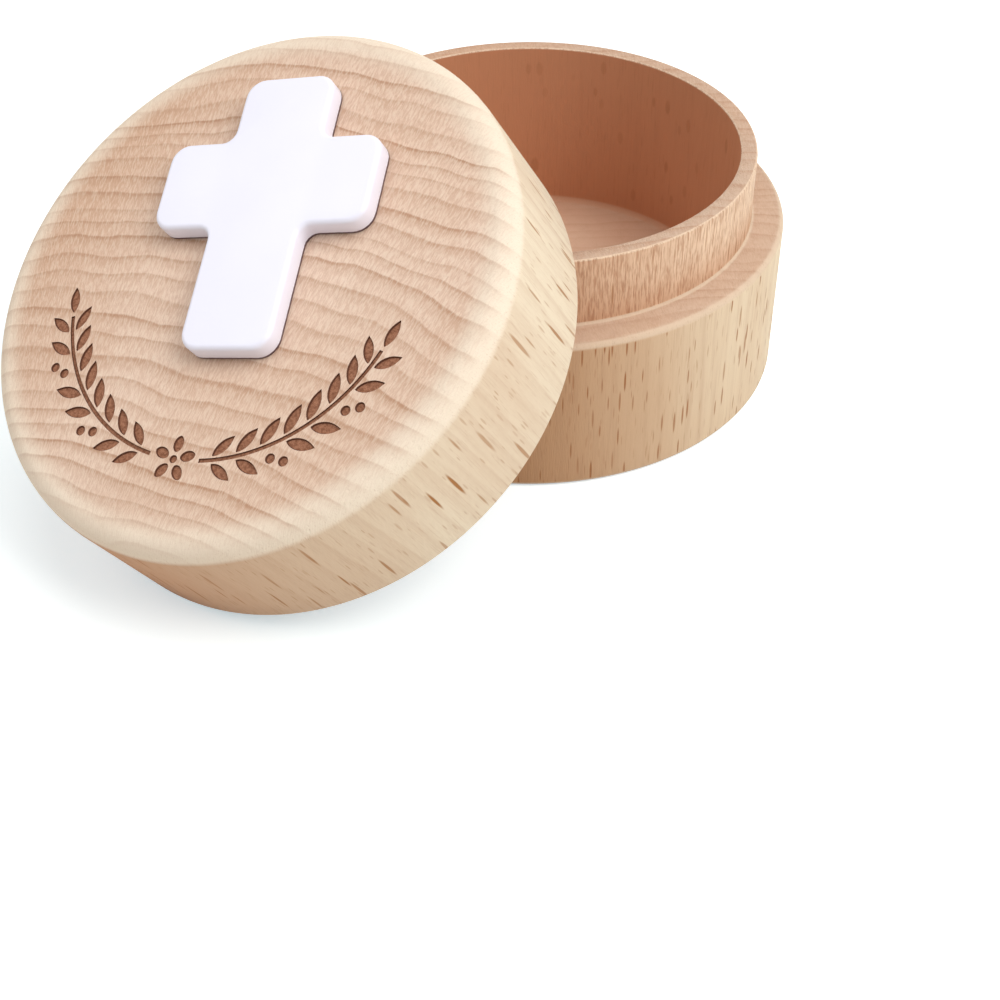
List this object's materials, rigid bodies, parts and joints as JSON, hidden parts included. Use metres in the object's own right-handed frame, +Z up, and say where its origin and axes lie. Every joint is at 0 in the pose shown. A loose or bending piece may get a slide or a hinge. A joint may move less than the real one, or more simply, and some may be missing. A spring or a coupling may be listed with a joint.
{
  "type": "rosary box",
  "caption": "Round turned wooden keepsake box for a rosary: a low base with a raised collar, and a lift-off lid with a cross glued on, modelled leaning against the collar.",
  "frame": {"origin": "centre of the base's flat underside, where the box stands", "axes": "+Z up along the base's turned axis; the lid leans out towards -Y, its own axis 33.2 degrees from upright in the YZ plane"},
  "size_m": [0.07, 0.114, 0.0524],
  "materials": {
    "turned_wood_base": "bare sanded beech, matte",
    "turned_wood_lid": "bare sanded beech, matte",
    "painted_cross": "white paint, semi-gloss"
  },
  "bodies": {
    "base": {"base": "turned_wood_base"},
    "lid": {"lid": "turned_wood_lid", "cross": "painted_cross"}
  },
  "joints": [
    {"name": "lid_lift", "type": "slide", "parent": "base", "child": "lid", "axis": [0, -0.5476, 0.8368], "range_m": [0, 0.06]}
  ]
}
